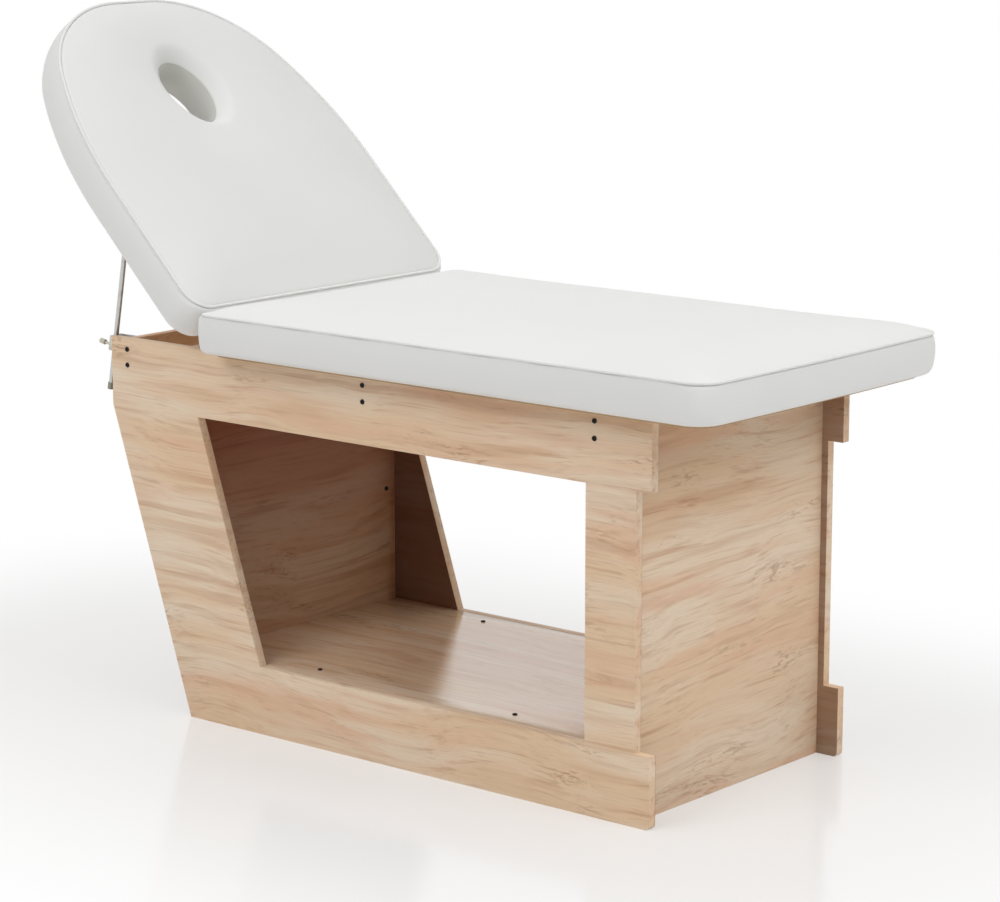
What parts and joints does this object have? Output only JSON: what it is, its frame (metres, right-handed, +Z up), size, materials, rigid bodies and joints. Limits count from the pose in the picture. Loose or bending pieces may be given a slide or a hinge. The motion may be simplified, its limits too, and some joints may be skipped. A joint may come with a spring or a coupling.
{
  "type": "spa bed with cabinet base",
  "caption": "Treatment bed: white cushions on an open wooden cabinet, with a tilting backrest that has a face hole and clamped prop rods.",
  "frame": {"origin": "on the floor, under the middle of the whole bed's outline with the backrest at 45 degrees", "axes": "+Z up, +X along the bed towards the foot end, +Y across the bed"},
  "size_m": [1.6812, 0.692, 1.2793],
  "materials": {
    "wood_laminate": "satin",
    "inner_panel_laminate": "satin",
    "softwood_cleat": "matte",
    "plywood": "matte",
    "white_upholstery": "satin",
    "white_piping": "satin",
    "grey_lining": "matte",
    "black_screw": "satin",
    "zinc_steel": "satin",
    "zinc_screw": "satin",
    "brushed_rod": "satin",
    "dark_clamp_steel": "satin"
  },
  "bodies": {
    "root": {"back_cleat_far": "softwood_cleat", "back_cleat_near": "softwood_cleat", "back_panel": "inner_panel_laminate", "back_panel_screws": "black_screw", "board_bracket_screws": "zinc_screw", "board_brackets": "zinc_steel", "clamp_bracket_far": "zinc_steel", "clamp_bracket_near": "zinc_steel", "clamp_bracket_screws": "zinc_screw", "cross_rail_foot": "wood_laminate", "cross_rail_head": "wood_laminate", "cross_rail_middle": "wood_laminate", "foot_cleat_far": "softwood_cleat", "foot_cleat_near": "softwood_cleat", "foot_panel": "wood_laminate", "foot_panel_screws": "black_screw", "hinge_leaves_leg": "zinc_steel", "hinge_pins": "zinc_steel", "hinge_screws_leg": "zinc_screw", "leg_board": "plywood", "leg_cushion": "white_upholstery", "leg_piping": "white_piping", "rail_screws": "black_screw", "shelf": "wood_laminate", "shelf_cleat_far": "softwood_cleat", "shelf_cleat_near": "softwood_cleat", "shelf_screws": "black_screw", "side_panel_far": "wood_laminate", "side_panel_near": "wood_laminate"},
    "backrest": {"backrest_board": "plywood", "backrest_cushion": "white_upholstery", "backrest_piping": "white_piping", "face_hole_sleeve": "grey_lining", "hinge_leaves_back": "zinc_steel", "hinge_screws_back": "zinc_screw", "strut_cup_far": "zinc_steel", "strut_cup_near": "zinc_steel", "strut_pins": "zinc_steel"},
    "rod_near": {"prop_rod_near": "brushed_rod", "rod_cap_near": "dark_clamp_steel"},
    "clamp_near": {"swivel_clamp_near": "dark_clamp_steel", "clamp_nut_near": "zinc_screw"},
    "thumb_near": {"thumb_screw_near": "dark_clamp_steel"},
    "rod_far": {"prop_rod_far": "brushed_rod", "rod_cap_far": "dark_clamp_steel"},
    "clamp_far": {"swivel_clamp_far": "dark_clamp_steel", "clamp_nut_far": "zinc_screw"},
    "thumb_far": {"thumb_screw_far": "dark_clamp_steel"}
  },
  "joints": [
    {"name": "backrest_tilt", "type": "hinge", "parent": "root", "child": "backrest", "pos_m": [-0.28558, 0, 0.756], "axis": [0, 1, 0], "range_deg": [-45, 10]},
    {"name": "prop_rod_near_swing", "type": "hinge", "parent": "backrest", "child": "rod_near", "pos_m": [-0.53716, -0.255, 0.93122], "axis": [0, 1, 0], "range_deg": [-5, 22.5]},
    {"name": "clamp_near_swivel", "type": "hinge", "parent": "root", "child": "clamp_near", "pos_m": [-0.58208, -0.255, 0.678], "axis": [0, 1, 0], "range_deg": [-22.5, 5]},
    {"name": "thumb_screw_near_turn", "type": "hinge", "parent": "clamp_near", "child": "thumb_near", "pos_m": [-0.58417, -0.255, 0.66618], "axis": [-0.9846, 0, 0.1747], "range_deg": [0, 360]},
    {"name": "prop_rod_far_swing", "type": "hinge", "parent": "backrest", "child": "rod_far", "pos_m": [-0.53716, 0.255, 0.93122], "axis": [0, 1, 0], "range_deg": [-5, 22.5]},
    {"name": "clamp_far_swivel", "type": "hinge", "parent": "root", "child": "clamp_far", "pos_m": [-0.58208, 0.255, 0.678], "axis": [0, 1, 0], "range_deg": [-22.5, 5]},
    {"name": "thumb_screw_far_turn", "type": "hinge", "parent": "clamp_far", "child": "thumb_far", "pos_m": [-0.58417, 0.255, 0.66618], "axis": [-0.9846, 0, 0.1747], "range_deg": [0, 360]}
  ],
  "couplings": [
    {"joint": "prop_rod_near_swing", "follows": "backrest_tilt", "ratio": -0.5},
    {"joint": "clamp_near_swivel", "follows": "backrest_tilt", "ratio": 0.5},
    {"joint": "prop_rod_far_swing", "follows": "backrest_tilt", "ratio": -0.5},
    {"joint": "clamp_far_swivel", "follows": "backrest_tilt", "ratio": 0.5}
  ]
}
